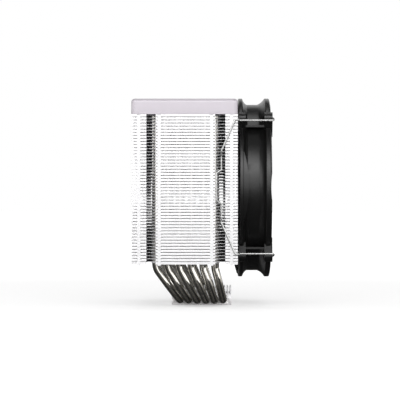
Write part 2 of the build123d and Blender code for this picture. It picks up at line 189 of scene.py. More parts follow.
class Finish(Graph):
    """A surface finish: constants sit on the shader, and what varies over the surface is linked."""

    def __init__(self, name, **constants):
        self.material = bpy.data.materials.new(name)
        self.material.use_nodes = True
        super().__init__(self.material.node_tree)
        self.tree.nodes.clear()
        self.shader = self.tree.nodes.new("ShaderNodeBsdfPrincipled")
        for socket, value in constants.items():
            self.shader.inputs[socket.replace("_", " ")].default_value = value
        self.node("ShaderNodeOutputMaterial", {}, {"Surface": Value(self, self.shader.outputs[0])})
        self.place = self.node("ShaderNodeTexCoord", output="Object")

    def feed(self, **links):
        for socket, value in links.items():
            self.tree.links.new(value.socket, self.shader.inputs[socket.replace("_", " ")])

    def noise(self, place, scale, detail, roughness=0.6, distortion=0.0):
        """Cloudy noise from 0 to 1 over the place."""
        inputs = {
            "Vector": place,
            "Scale": scale,
            "Detail": detail,
            "Roughness": roughness,
            "Distortion": distortion,
        }
        return self.node("ShaderNodeTexNoise", {}, inputs)

    def grain(self, per_metre, squeeze=(1, 1, 1), detail=4.0, distortion=0.0):
        """Noise with this many features to the metre, fewer along an axis whose squeeze is below 1."""
        place = self.node("ShaderNodeMapping", {}, {"Vector": self.place, "Scale": squeeze})
        return self.noise(place, per_metre, detail, distortion=distortion)

    def relief(self, height, depth, strength):
        """Lets a height from 0 to 1 raise the surface by this depth."""
        inputs = {"Height": height, "Distance": depth, "Strength": strength}
        self.feed(Normal=self.node("ShaderNodeBump", {}, inputs))


def grey(level, warmth=0.0):
    """A grey colour, leaning to yellow by a positive warmth."""
    return (level * (1 + warmth), level, level * (1 - warmth), 1.0)


def shade(colour, share):
    """The colour made darker, to this share of its brightness, or paler by a share above 1."""
    return tuple(min(1.0, channel * share) for channel in colour[:3]) + (1.0,)


def balance(first, second, share):
    """The first value by this share and the second by the rest."""
    return first * share + second * (1 - share)


# ---- finishes ----
def sheet_aluminium(colour):
    """Rolled aluminium sheet: faint streaks along the sheet and a soft cloudiness from handling."""
    finish = Finish("sheet_aluminium", Metallic=0.55)
    streaks = finish.grain(per_metre=2600, squeeze=(0.035, 1, 1), detail=3)
    clouds = finish.grain(per_metre=70, detail=3)
    tone = finish.spread(balance(streaks, clouds, 0.6), NARROW)
    finish.feed(
        Base_Color=finish.mix(shade(colour, 0.90), colour, tone),
        Roughness=finish.spread(clouds + streaks * 0.5, (0.5, 1.0), onto=(0.36, 0.46)),
    )
    finish.relief(streaks, depth=0.01 * MM, strength=0.5)
    return finish.material


def satin_cover(colour):
    """Bead-blasted and clear-anodised aluminium: a fine even grain with a slight cloud in its tone."""
    finish = Finish("satin_cover", Metallic=0.35)
    beads = finish.grain(per_metre=5200, detail=2)
    clouds = finish.grain(per_metre=38)
    finish.feed(
        Base_Color=finish.mix(shade(colour, 0.93), colour, finish.spread(clouds, WIDE)),
        Roughness=finish.spread(balance(beads, clouds, 0.5), WIDE, onto=(0.38, 0.50)),
    )
    finish.relief(beads, depth=0.015 * MM, strength=0.6)
    return finish.material


def plated_pipe(colour):
    """Bright nickel over copper pipe: near mirror, with darker, duller drawing lines and smudges."""
    finish = Finish("plated_pipe")
    around = finish.node("ShaderNodeAttribute", {"attribute_name": AROUND}, output="Vector")
    lines = finish.noise(around, scale=3.4, detail=4.0, roughness=0.75)
    smudges = finish.grain(per_metre=210, detail=5, distortion=0.6)
    dull = finish.spread(lines, (0.51, 0.6)) * finish.spread(smudges, (0.3, 0.55), onto=(0.55, 1.0))
    line_colour = (colour[0] * 0.62, colour[1] * 0.59, colour[2] * 0.53, 1.0)
    finish.feed(
        Base_Color=finish.mix(colour, line_colour, dull),
        Metallic=finish.spread(dull, WHOLE, onto=(1.0, 0.88)),
        Roughness=finish.spread(dull, WHOLE, onto=(0.05, 0.36)),
    )
    finish.relief(balance(lines, smudges, 0.7), depth=0.05 * MM, strength=0.6)
    return finish.material


def milled_metal(name, colour, roughness):
    """Milled and plated metal: close parallel tool marks with a little wander and a few stains."""
    finish = Finish(name, Metallic=0.35)
    marks = finish.grain(per_metre=3000, squeeze=(1, 0.02, 0.4), detail=2)
    stains = finish.grain(per_metre=120, detail=5)
    tone = finish.spread(stains + marks * 0.3, (0.4, 0.8))
    smoothest, roughest = roughness - 0.05, roughness + 0.08
    finish.feed(
        Base_Color=finish.mix(shade(colour, 0.86), colour, tone),
        Roughness=finish.spread(balance(marks, stains, 0.7), WIDE, onto=(smoothest, roughest)),
    )
    finish.relief(marks, depth=0.012 * MM, strength=0.6)
    return finish.material


def moulded_plastic(name, level, roughness, grain_depth):
    """Black glass-filled plastic: a fine sparked texture, slightly greyer where it is rubbed."""
    finish = Finish(name, IOR=1.5)
    texture = finish.grain(per_metre=3800, detail=3)
    flow = finish.grain(per_metre=90, detail=3)
    rubbed = finish.spread(balance(texture, flow, 0.6), WIDE)
    finish.feed(
        Base_Color=finish.mix(grey(level * 0.85), grey(level * 1.15, warmth=0.02), rubbed),
        Roughness=finish.spread(rubbed, WHOLE, onto=(roughness - 0.03, roughness + 0.03)),
    )
    finish.relief(texture, depth=grain_depth, strength=0.7)
    return finish.material


def soft_rubber():
    """Black silicone rubber: matt, with a bloom that greys it in patches."""
    finish = Finish("soft_rubber", IOR=1.45)
    bloom = finish.grain(per_metre=480, detail=5)
    finish.feed(
        Base_Color=finish.mix(grey(0.016), grey(0.045), finish.spread(bloom, (0.35, 0.75))),
        Roughness=finish.spread(bloom, WIDE, onto=(0.62, 0.82)),
    )
    finish.relief(bloom, depth=0.03 * MM, strength=0.5)
    return finish.material


def drawn_wire(colour):
    """Bright spring wire: fine lines from the drawing die, a little darker in places."""
    finish = Finish("drawn_wire", Metallic=0.8)
    lines = finish.grain(per_metre=2400, squeeze=(1, 1, 0.1), detail=2)
    tarnish = finish.grain(per_metre=260)
    finish.feed(
        Base_Color=finish.mix(colour, shade(colour, 0.78), finish.spread(tarnish, (0.5, 0.75))),
        Roughness=finish.spread(lines + tarnish, (0.7, 1.3), onto=(0.22, 0.34)),
    )
    finish.relief(lines, depth=0.008 * MM, strength=0.5)
    return finish.material


def label_film():
    """A plain film disc on the motor, satin grey with a paler rim and ring, and nothing on it."""
    rim_radius, ring_inner, ring_outer, blur = 19.6 * MM, 9.0 * MM, 9.5 * MM, 0.1 * MM
    finish = Finish("label_film", IOR=1.5)
    hub = tuple(joint_place["fan_spin"])
    offset = finish.node("ShaderNodeVectorMath", {"operation": "SUBTRACT"}, {0: finish.place, 1: hub})
    flat = finish.node("ShaderNodeVectorMath", {"operation": "MULTIPLY"}, {0: offset, 1: (0, 1, 1)})
    radius = finish.node("ShaderNodeVectorMath", {"operation": "LENGTH"}, {0: flat}, output="Value")
    rim = finish.spread(radius, (rim_radius, rim_radius + 2 * blur))
    past_ring = finish.spread(radius, (ring_outer, ring_outer + blur))
    ring = finish.spread(radius, (ring_inner, ring_inner + blur)) * (1 - past_ring)
    fibre = finish.grain(per_metre=2500, detail=3)
    base = finish.mix(grey(0.055), grey(0.075), finish.spread(fibre, NARROW))
    finish.feed(
        Base_Color=finish.mix(base, grey(0.42), rim + ring),
        Roughness=finish.spread(fibre, WIDE, onto=(0.3, 0.42)),
    )
    finish.relief(fibre, depth=0.01 * MM, strength=0.4)
    return finish.material


def circuit_lacquer():
    """Green lacquer over a board, with the glass weave just showing."""
    finish = Finish("circuit_lacquer", IOR=1.5, Coat_Roughness=0.15)
    weave = finish.grain(per_metre=2200, squeeze=(1, 1, 0.2), detail=1)
    blotches = finish.grain(per_metre=300)
    tone = finish.spread(balance(weave, blotches, 0.4), NARROW)
    finish.feed(
        Base_Color=finish.mix(LACQUER_DARK, LACQUER_PALE, tone),
        Roughness=finish.spread(blotches, WIDE, onto=(0.25, 0.4)),
        Coat_Weight=finish.spread(blotches, WIDE, onto=(0.4, 0.7)),
    )
    finish.relief(weave, depth=0.01 * MM, strength=0.5)
    return finish.material


def turned_metal(name, colour, roughness, rings_per_metre=2000):
    """Turned, stamped or wound metal in the motor: rings along the fan's axis and mottled tone."""
    finish = Finish(name, Metallic=1.0)
    rings = finish.grain(per_metre=rings_per_metre, squeeze=(1, 0.1, 0.1), detail=2)
    mottle = finish.grain(per_metre=420)
    tone = finish.spread(balance(rings, mottle, 0.5), NARROW)
    finish.feed(
        Base_Color=finish.mix(shade(colour, 0.72), colour, tone),
        Roughness=finish.spread(mottle, WIDE, onto=(roughness - 0.06, roughness + 0.08)),
    )
    finish.relief(rings, depth=0.02 * MM, strength=0.6)
    return finish.material


def sintered_ferrite():
    """Dark sintered magnet: dull and slightly pitted."""
    finish = Finish("sintered_ferrite", IOR=1.6)
    pits = finish.grain(per_metre=1500, detail=5)
    finish.feed(
        Base_Color=finish.mix(grey(0.03), grey(0.09), finish.spread(pits, (0.35, 0.7))),
        Roughness=finish.spread(pits, WIDE, onto=(0.5, 0.7)),
    )
    finish.relief(pits, depth=0.03 * MM, strength=0.6)
    return finish.material


def natural_nylon():
    """A washer of uncoloured nylon, faintly cloudy."""
    finish = Finish("natural_nylon", IOR=1.53, Subsurface_Weight=0.2, Subsurface_Scale=0.5 * MM)
    clouds = finish.grain(per_metre=900)
    finish.feed(
        Base_Color=finish.mix(NYLON_DARK, NYLON_PALE, finish.spread(clouds, WIDE)),
        Roughness=finish.spread(clouds, WIDE, onto=(0.35, 0.5)),
    )
    finish.relief(clouds, depth=0.01 * MM, strength=0.4)
    return finish.material


# ---- meshes ----
def add_piece(name, mesh, body, replaces):
    """Puts a finished mesh in the scene as a piece that rides on a body and stands for these nodes."""
    piece = bpy.data.objects.new(name, mesh)
    bpy.context.scene.collection.objects.link(piece)
    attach(piece, body)
    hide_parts(*replaces)


def apply_modifiers(name, mesh, add_modifiers):
    """The plain mesh that a temporary object with these modifiers evaluates to."""
    blank = bpy.data.objects.new(name, mesh)
    bpy.context.scene.collection.objects.link(blank)
    add_modifiers(blank)
    bpy.context.view_layer.update()
    evaluated = blank.evaluated_get(bpy.context.evaluated_depsgraph_get())
    finished = bpy.data.meshes.new_from_object(evaluated)
    finished.name = name
    blank.modifiers.clear()
    bpy.data.objects.remove(blank)
    return finished


def grow(name, seed, tree, values, before=None):
    """Runs a Geometry Nodes tree on a seed mesh and keeps what it makes as a plain mesh."""

    def add_modifiers(blank):
        if before:
            before(blank)
        modifier = blank.modifiers.new("grow", "NODES")
        modifier.node_group = tree
        for item in tree.interface.items_tree:
            if item.name in values:
                modifier[item.identifier] = values[item.name]

    return apply_modifiers(name, seed, add_modifiers)


def shade_mesh(mesh, crease_deg):
    """Shades a mesh smooth, apart from the edges that are sharper than this."""
    mesh.shade_smooth()
    mesh.set_sharp_from_angle(angle=radians(crease_deg))


def merged_copy(node, material, crease_deg, bevel=0.0):
    """A CAD node's mesh with its triangles joined up, smooth but for creases, its corners eased."""
    mesh = frame["nodes"][node].data.copy()
    mesh.materials.clear()
    mesh.materials.append(material)
    for name in ("custom_normal", "sharp_edge", "sharp_face"):
        if name in mesh.attributes:
            mesh.attributes.remove(mesh.attributes[name])
    work = bmesh.new()
    work.from_mesh(mesh)
    bmesh.ops.remove_doubles(work, verts=work.verts, dist=WELD)
    for face in work.faces:
        face.material_index = 0
        face.smooth = True
    if bevel:
        bmesh.ops.dissolve_limit(work, angle_limit=FLAT, verts=work.verts, edges=work.edges)
    work.to_mesh(mesh)
    work.free()
    if bevel:

        def ease(blank):
            corners = blank.modifiers.new("ease", "BEVEL")
            corners.width = bevel
            corners.segments = 2
            corners.angle_limit = radians(crease_deg)
            corners.harden_normals = True

        mesh = apply_modifiers(node, mesh, ease)
    shade_mesh(mesh, crease_deg)
    return mesh


def join_rings(work, rings):
    """Closes each ring's strip to the next one with four-sided faces."""
    for first, second in zip(rings, rings[1:]):
        for step in range(len(first)):
            after = (step + 1) % len(first)
            work.faces.new((first[step], first[after], second[after], second[step]))


def full_turn(steps):
    """The cosine and sine of each of these even steps round a circle."""
    turns = [2 * pi * step / steps for step in range(steps)]
    return [(cos(turn), sin(turn)) for turn in turns]


def lathe(profile, centre, steps=96):
    """A closed mesh turned about the fan's axis: the profile is pairs of place along it and radius."""
    work = bmesh.new()
    rings = [
        [work.verts.new(centre + Vector((along, radius * c, radius * s))) for c, s in full_turn(steps)]
        for along, radius in profile
    ]
    join_rings(work, rings + rings[:1])
    bmesh.ops.recalc_face_normals(work, faces=work.faces)
    return work


def plain_mesh(name, work):
    """Turns a bmesh into a mesh."""
    mesh = bpy.data.meshes.new(name)
    work.to_mesh(mesh)
    work.free()
    return mesh


# ---- Geometry Nodes trees ----
def new_tree(name, inputs):
    """An empty tree with geometry in and out and these named inputs, and what it is given there."""
    tree = bpy.data.node_groups.new(name, "GeometryNodeTree")
    tree.interface.new_socket("Geometry", in_out="OUTPUT", socket_type="NodeSocketGeometry")
    tree.interface.new_socket("Geometry", in_out="INPUT", socket_type="NodeSocketGeometry")
    for label, kind in inputs.items():
        tree.interface.new_socket(label, in_out="INPUT", socket_type=kind)
    graph = Graph(tree)
    source = tree.nodes.new("NodeGroupInput")
    given = {socket.name: Value(graph, socket) for socket in source.outputs if socket.name}
    return graph, given


def end_tree(graph, geometry, material):
    """Ends a tree as every one here ends: instances made real, then the material."""
    real = graph.node("GeometryNodeRealizeInstances", {}, {0: geometry})
    painted = graph.node("GeometryNodeSetMaterial", {}, {"Geometry": real, "Material": material})
    graph.node("NodeGroupOutput", {}, {"Geometry": painted})
    return graph.tree


def stack_tree():
    """Repeats a sheet upwards at an even pitch."""
    inputs = {"Count": "NodeSocketInt", "Pitch": "NodeSocketFloat", "Material": "NodeSocketMaterial"}
    graph, given = new_tree("stack_up", inputs)
    step = graph.node("ShaderNodeCombineXYZ", {}, {"Z": given["Pitch"]})
    places = graph.node("GeometryNodeMeshLine", {}, {"Count": given["Count"], "Offset": step})
    copies = graph.node(
        "GeometryNodeInstanceOnPoints", {}, {"Points": places, "Instance": given["Geometry"]}
    )
    return end_tree(graph, copies, given["Material"])


def turn_tree():
    """Repeats a blade round the fan's axis."""
    inputs = {"Count": "NodeSocketInt", "Centre": "NodeSocketVector", "Material": "NodeSocketMaterial"}
    graph, given = new_tree("turn_about_hub", inputs)
    all_at_once = {"Count": given["Count"], "Start Location": given["Centre"], "Offset": (0, 0, 0)}
    places = graph.node("GeometryNodeMeshLine", {}, all_at_once)
    number = graph.node("GeometryNodeInputIndex")
    share = graph.node("ShaderNodeMath", {"operation": "DIVIDE"}, {0: number, 1: given["Count"]})
    turn = graph.node("ShaderNodeCombineXYZ", {}, {"X": share * (2 * pi)})
    copies = graph.node(
        "GeometryNodeInstanceOnPoints",
        {},
        {"Points": places, "Instance": given["Geometry"], "Rotation": turn},
    )
    return end_tree(graph, copies, given["Material"])


def tube_tree():
    """Bends a round tube along the seed's edges, with each corner rounded by its own "bend" radius."""
    inputs = {
        "Radius": "NodeSocketFloat",
        "Sides": "NodeSocketInt",
        "Bend Steps": "NodeSocketInt",
        "Material": "NodeSocketMaterial",
    }
    graph, given = new_tree("bent_tube", inputs)
    line = graph.node("GeometryNodeMeshToCurve", {}, {"Mesh": given["Geometry"]})
    bend = graph.node("GeometryNodeInputNamedAttribute", {"data_type": "FLOAT"}, {"Name": BEND})
    rounded = graph.node(
        "GeometryNodeFilletCurve",
        {"mode": "POLY"},
        {"Curve": line, "Count": given["Bend Steps"], "Radius": bend, "Limit Radius": True},
    )
    circle = graph.node(
        "GeometryNodeCurvePrimitiveCircle", {}, {"Resolution": given["Sides"], "Radius": given["Radius"]}
    )
    place = graph.node("GeometryNodeInputPosition")
    outward = graph.node("ShaderNodeVectorMath", {"operation": "NORMALIZE"}, {0: place})
    section = graph.node(
        "GeometryNodeStoreNamedAttribute",
        {"data_type": "FLOAT_VECTOR", "domain": "POINT"},
        {"Geometry": circle, "Name": AROUND, "Value": outward},
    )
    tube = graph.node(
        "GeometryNodeCurveToMesh", {}, {"Curve": rounded, "Profile Curve": section, "Fill Caps": True}
    )
    return end_tree(graph, tube, given["Material"])


def route_mesh(name, route):
    """A string of edges through the route's (point, bend radius) pairs, for tube_tree."""
    mesh = bpy.data.meshes.new(name)
    points = [point for point, _ in route]
    mesh.from_pydata(points, [(n, n + 1) for n in range(len(points) - 1)], [])
    bend = mesh.attributes.new(BEND, "FLOAT", "POINT")
    bend.data.foreach_set("value", [radius for _, radius in route])
    return mesh


# ---- settings ----
def length(name, description, default, **options):
    return bpy.props.FloatProperty(
        name=name, description=description, default=default, unit="LENGTH", precision=5, **options
    )


def tint(name, description, default):
    return bpy.props.FloatVectorProperty(
        name=name, description=description, default=default, subtype="COLOR", size=4, min=0, max=1
    )


def amount(name, description, default, **options):
    return bpy.props.FloatProperty(name=name, description=description, default=default, **options)


def whole_number(name, description, default):
    return bpy.props.IntProperty(name=name, description=description, default=default, min=2)


class CoolerStageSettings(bpy.types.PropertyGroup):
    """Camera, floor and lights."""

    camera_distance: length("Camera distance", "From the camera to the middle of the cooler", 1.6)
    camera_height: length("Camera height", "Height of the lens above the floor", 0.0816)
    camera_side: length("Camera sideways", "How far the camera stands towards the fan", -0.0012)
    sensor: amount("Sensor", "Width of the camera's sensor in millimetres", 36.0, unit="CAMERA")
    lens: amount("Lens", "Focal length in millimetres", 182.7, unit="CAMERA")
    floor_size: length("Floor size", "Side of the square floor", 24.0)
    lit_radius: length("Lit radius", "How far round the cooler the floor shows its shadows", 0.45)
    floor_glow: amount("Floor glow", "Light that the floor lets through from below", 0.5)
    floor_colour: tint("Floor colour", "Colour of the pale floor", (0.465, 0.465, 0.465, 1))
    backdrop: amount("Backdrop", "Brightness of the room as matt surfaces see it", 0.35)
    room: amount("Room", "Brightness of the room as shiny surfaces see it", 0.015)
    key_brightness: amount("Key light", "Brightness of the large light behind the camera", 2.0)
    high_brightness: amount("High light", "Brightness of the light high above the camera", 2.7)
    side_brightness: amount("Side lights", "Brightness of the lights round the other sides", 1.8)
    corner_share: amount("Front corners", "Their brightness as a share of the side lights'", 1.4)
    behind_share: amount("Behind", "Its brightness as a share of the side lights'", 0.6)


class CoolerFinSettings(bpy.types.PropertyGroup):
    """The fin stack."""

    count: whole_number("Fins", "How many fins are stacked", 49)
    pitch: length("Pitch", "Height from one fin to the next", 2.32 * MM)
    thickness: length("Thickness", "Thickness of the sheet", 0.4 * MM)
    gap: length("Gap", "Left between a folded wall and the fin below it", 0.46 * MM)
    bend: length("Bend", "Outer radius of the fold along the sides", 0.35 * MM)
    slot_depth: length("Slot depth", "Depth of the clip slots in the sides", 13 * MM)
    rear_slot: length("Rear slot", "From the rear edge to the rear slot", 11.5 * MM)
    rear_slot_width: length("Rear slot width", "Width of the rear slot", 7 * MM)
    front_slot: length("Front slot", "From the front edge to the front slot", 9.4 * MM)
    front_slot_width: length("Front slot width", "Width of the front slot", 7.7 * MM)
    tongue_width: length("Tongue width", "Width of the tongues that lock two fins", 2.4 * MM)
    tongue_reach: length("Tongue reach", "How far a tongue reaches down past its wall", 0.95 * MM)
    tongue_inset: length("Tongue inset", "From the end of a wall to its first tongue", 1.4 * MM)
    notch_clearance: length("Notch clearance", "Room left round a tongue in its notch", 0.05 * MM)
    collar_height: length("Collar height", "Depth of the collars round the pipes", 1.2 * MM)
    collar_bend: length("Collar bend", "Radius where a collar turns down out of the sheet", 0.35 * MM)
    collar_clearance: length("Collar clearance", "Left between a collar and its pipe", 0.05 * MM)
    collar_sides: whole_number("Collar sides", "How many flats make a collar round", 14)
    colour: tint("Colour", "Colour of the aluminium", (0.76, 0.755, 0.765, 1))


class CoolerCoverSettings(bpy.types.PropertyGroup):
    """The drawn top cover."""

    colour: tint("Colour", "Colour of the satin aluminium", (0.45, 0.42, 0.456, 1))


class CoolerPipeSettings(bpy.types.PropertyGroup):
    """The six heat pipes."""

    bend_radius: length("Bend radius", "Radius where a pipe leaves the base", 18 * MM)
    shoulder_radius: length("Shoulder radius", "Radius where a leg turns up into the fins", 12 * MM)
    shoulder_drop: length("Shoulder drop", "From the fins down to the corner of that turn", 3 * MM)
    sides: whole_number("Sides", "How many flats make a pipe round", 32)
    bend_steps: whole_number("Bend steps", "How many points make a bend", 14)
    colour: tint("Colour", "Colour of the nickel plating", (0.66, 0.645, 0.61, 1))


class CoolerBaseSettings(bpy.types.PropertyGroup):
    """The base plate and the ribbed block on it."""

    edge_ease: length("Edge ease", "Width of the eased edges", 0.12 * MM)
    plate_colour: tint("Plate colour", "Colour of the plated copper", (0.80, 0.785, 0.79, 1))
    block_colour: tint("Block colour", "Colour of the block", (0.84, 0.84, 0.85, 1))


class CoolerFanSettings(bpy.types.PropertyGroup):
    """The fan's frame, its pads and the motor."""

    frame_level: amount("Frame grey", "Brightness of the frame's plastic", 0.0035, min=0, max=1)
    blade_level: amount("Blade grey", "Brightness of the impeller's plastic", 0.022, min=0, max=1)
    pad_ease: length("Pad ease", "Width of the pads' eased edges", 0.15 * MM)
    outlet_ease: length("Outlet ease", "Width of the lead outlet's eased edges", 0.25 * MM)


class CoolerImpellerSettings(bpy.types.PropertyGroup):
    """The impeller's hub and blades."""

    blades: whole_number("Blades", "How many blades it has", 9)
    hub_radius: length("Hub radius", "Outside of the hub", 20.6 * MM)
    hub_back: length("Hub back", "From the frame's back face to the hub's open end", 4.6 * MM)
    hub_front: length("Hub front", "From the frame's back face to the hub's front", 24.3 * MM)
    hub_wall: length("Hub wall", "Thickness of the hub's shell", 1.6 * MM)
    hub_round: length("Hub round", "Radius of the hub's front edge", 1.6 * MM)
    hub_chamfer: length("Hub chamfer", "Width of the chamfer at the hub's open end", 0.3 * MM)
    dish_inset: length("Dish inset", "From the hub's outside in to the dish in its front", 3 * MM)
    dish_depth: length("Dish depth", "Depth of that dish", 0.35 * MM)
    boss_radius: length("Boss radius", "Outside of the boss that holds the shaft", 4 * MM)
    boss_length: length("Boss length", "Length of that boss", 5 * MM)
    shaft_radius: length("Shaft radius", "Radius of the shaft in the boss", 1.5 * MM)
    root_overlap: length("Root overlap", "How far a blade reaches into the hub's wall", 0.8 * MM)
    tip_radius: length("Tip radius", "Radius that the blade tips reach", 62.2 * MM)
    middle: length("Blade middle", "From the frame's back face to the middle of the blades", 14 * MM)
    root_chord: length("Root chord", "Width of a blade at the hub", 21 * MM)
    tip_chord: length("Tip chord", "Width of a blade at its tip", 40 * MM)
    root_thickness: length("Root thickness", "Thickness of a blade at the hub", 2.4 * MM)
    tip_thickness: length("Tip thickness", "Thickness of a blade at its tip", 1.4 * MM)
    root_pitch: amount("Root pitch", "Angle of a blade at the hub", radians(47), subtype="ANGLE")
    tip_pitch: amount("Tip pitch", "Angle of a blade at its tip", radians(25), subtype="ANGLE")
    sweep: amount("Sweep", "How far the tip leans round the hub", radians(9), subtype="ANGLE")
    camber: amount("Camber", "Height of a blade's curve as a share of its width", 0.08)
    bluntness: amount("Bluntness", "Power that rounds a blade's edges, blunter below 1", 0.7)


class CoolerClipSettings(bpy.types.PropertyGroup):
    """The two wire clips."""

    wire_radius: length("Wire radius", "Radius of the wire", 0.65 * MM)
    sides: whole_number("Sides", "How many flats make the wire round", 20)
    bend_steps: whole_number("Bend steps", "How many points make a bend", 8)
    bend_radius: length("Bend radius", "Radius of the wire's bends", 1.3 * MM)
    hook_depth: length("Hook depth", "How far the hooks reach into the ears", 1.6 * MM)
    side_out: length("Side run", "From the hooks out to the run along the fan", 5.45 * MM)
    side_drop: length("Side drop", "How much nearer the middle that run is than the hooks", 1.8 * MM)
    leg_gap: length("Leg gap", "From the fins' front edges to the wire in front of them", 0.95 * MM)
    wall_out: length("Wall gap", "From the fins' sides to the wire beside them", 0.95 * MM)
    heel: length("Heel", "Behind the fins' front edges, where the wire turns down", 1.9 * MM)
    slant_end: length("Slant end", "Height where the slanting run ends, from the fan's middle", 27 * MM)
    dip_end: length("Dip end", "Height where the wire has dipped into the slot", 23 * MM)
    dip: length("Dip", "How deep it dips", 2.3 * MM)
    grip_half_height: length("Grip half height", "Half the height of the finger grip", 10.6 * MM)
    grip_step: length("Grip step", "Height of the turn into the grip", 2.2 * MM)
    grip_offset: length("Grip offset", "How far the grip stands to the rear", 3.6 * MM)
    grip_rise: length("Grip rise", "How far the grip stands out", 1.0 * MM)
    colour: tint("Colour", "Colour of the steel wire", (0.6, 0.6, 0.595, 1))


# ---- operators ----
# Nearest and furthest that the camera sees.
CAMERA_REACH = (0.05, 60.0)

# Places round a quarter turn where a fin's fold and the hub's front edge have their points.
FOLD_TURNS = (0, pi / 6, pi / 3, pi / 2)
EDGE_TURNS = (0, pi / 8, pi / 4, 3 * pi / 8, pi / 2)


def add_area_light(name, place, aim, width, height, brightness):
    """A soft rectangular light that the camera doesn't see, equally bright whatever its size."""
    data = bpy.data.lights.new(name, "AREA")
    data.shape = "RECTANGLE"
    data.size = width
    data.size_y = height
    data.energy = brightness * pi * width * height
    light = bpy.data.objects.new(name, data)
    light.location = place
    light.rotation_euler = (Vector(aim) - Vector(place)).to_track_quat("-Z", "Y").to_euler()
    light.visible_camera = False
    bpy.context.scene.collection.objects.link(light)


class COOLER_OT_stage(bpy.types.Operator):
    """Sets up the camera, the pale floor and the soft lights"""

    bl_idname = "cooler.stage"
    bl_label = "Stage"

    def execute(self, context):
        settings = context.scene.cooler_stage
        self.add_camera(context.scene, settings)
        self.add_room(context.scene, settings)
        self.add_floor(context.scene, settings)
        self.add_lights(settings)
        return {"FINISHED"}

    def add_camera(self, scene, settings):
        data = bpy.data.cameras.new("camera")
        data.lens = settings.lens
        data.sensor_width = settings.sensor
        data.clip_start, data.clip_end = CAMERA_REACH
        camera = bpy.data.objects.new("camera", data)
        camera.location = (settings.camera_side, -settings.camera_distance, settings.camera_height)
        camera.rotation_euler = (pi / 2, 0, 0)
        scene.collection.objects.link(camera)
        scene.camera = camera
        scene.view_settings.view_transform = "Standard"

    def add_room(self, scene, settings):
        """White for the camera, an even soft light for matt surfaces and a dim one for shiny ones."""
        world = bpy.data.worlds.new("room")
        scene.world = world
        world.use_nodes = True
        world.cycles.sampling_method = "NONE"
        world.node_tree.nodes.clear()
        room = Graph(world.node_tree)
        shiny = room.node("ShaderNodeLightPath", output="Is Glossy Ray")
        seen = room.node("ShaderNodeLightPath", output="Is Camera Ray")
        lighting = room.spread(shiny, WHOLE, onto=(settings.backdrop, settings.room))
        level = lighting + seen * (1 - settings.backdrop)
        light = room.node("ShaderNodeBackground", {}, {"Color": grey(1.0), "Strength": level})
        room.node("ShaderNodeOutputWorld", {}, {"Surface": light})

    def add_floor(self, scene, settings):
        """A floor that shows shadows near the cooler, is white further out and dim to shiny surfaces."""
        half = settings.floor_size / 2
        mesh = bpy.data.meshes.new("floor")
        corners = [(-half, -half, 0), (half, -half, 0), (half, half, 0), (-half, half, 0)]
        mesh.from_pydata(corners, [], [(0, 1, 2, 3)])
        finish = Finish("pale_floor", Roughness=0.9, IOR=1.3, Emission_Strength=1.0)
        shiny = finish.node("ShaderNodeLightPath", output="Is Glossy Ray")
        dust = finish.grain(per_metre=3, detail=3)
        colour = tuple(settings.floor_colour)
        reach = finish.node(
            "ShaderNodeVectorMath", {"operation": "LENGTH"}, {0: finish.place}, output="Value"
        )
        far = finish.spread(reach, (settings.lit_radius, 3 * settings.lit_radius))
        glow = finish.mix(grey(settings.floor_glow), grey(1.0), far)
        finish.feed(
            Base_Color=finish.mix(finish.mix(colour, shade(colour, 1.03), dust), grey(0), shiny),
            Emission_Color=finish.mix(glow, grey(settings.room), shiny),
        )
        mesh.materials.append(finish.material)
        floor = bpy.data.objects.new("floor", mesh)
        scene.collection.objects.link(floor)

    def add_lights(self, settings):
        """Soft lights round and above the cooler, each by its place, width, height and brightness."""
        key, high, side = settings.key_brightness, settings.high_brightness, settings.side_brightness
        corner, behind = settings.corner_share * side, settings.behind_share * side
        lights = {
            "key": ((0, -2.2, 0.75), 2.2, 1.5, key),
            "high_front": ((0, -1.9, 1.35), 2.4, 1.1, high),
            "left_front": ((-1.9, -1.5, 0.8), 1.7, 1.2, corner),
            "right_front": ((1.9, -1.5, 0.8), 1.7, 1.2, corner),
            "behind": ((0, 2.2, 0.8), 2.0, 1.3, behind),
            "over": ((0, 0.4, 2.2), 1.2, 1.2, side),
            "fan_side": ((2.3, 0.5, 0.7), 1.8, 1.2, side),
            "rear_side": ((-2.3, 0.5, 0.7), 1.8, 1.2, side),
        }
        middle = (cad_low + cad_high) / 2
        for name, (place, width, height, brightness) in lights.items():
            add_area_light(name, place, middle, width, height, brightness)


